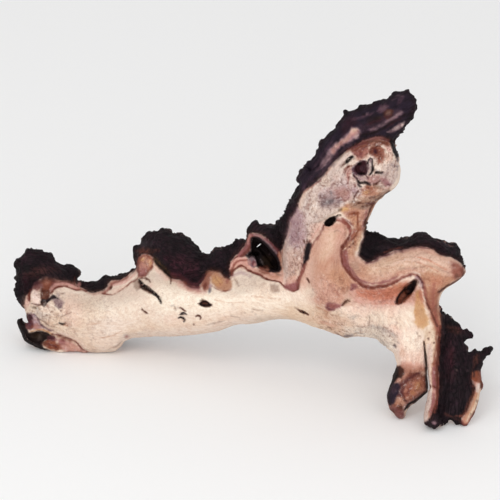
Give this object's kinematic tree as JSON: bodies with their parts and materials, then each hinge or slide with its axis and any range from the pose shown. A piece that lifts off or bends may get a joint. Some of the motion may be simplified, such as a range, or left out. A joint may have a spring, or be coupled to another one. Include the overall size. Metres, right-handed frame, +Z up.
{
  "type": "aquarium driftwood root",
  "caption": "Branching driftwood root for an aquarium: pale flayed wood in front, dark rough bark along the top and back, standing on its own root ends.",
  "frame": {"origin": "centre of the bounding box at the level of the feet", "axes": "+Z up, +X along the root from its low left end to its right legs, +Y away from the flayed front"},
  "size_m": [0.397, 0.1854, 0.2583],
  "materials": {
    "wood": "bare weathered wood with dark rough bark"
  },
  "bodies": {
    "root": {"driftwood_root": "wood"}
  },
  "joints": []
}
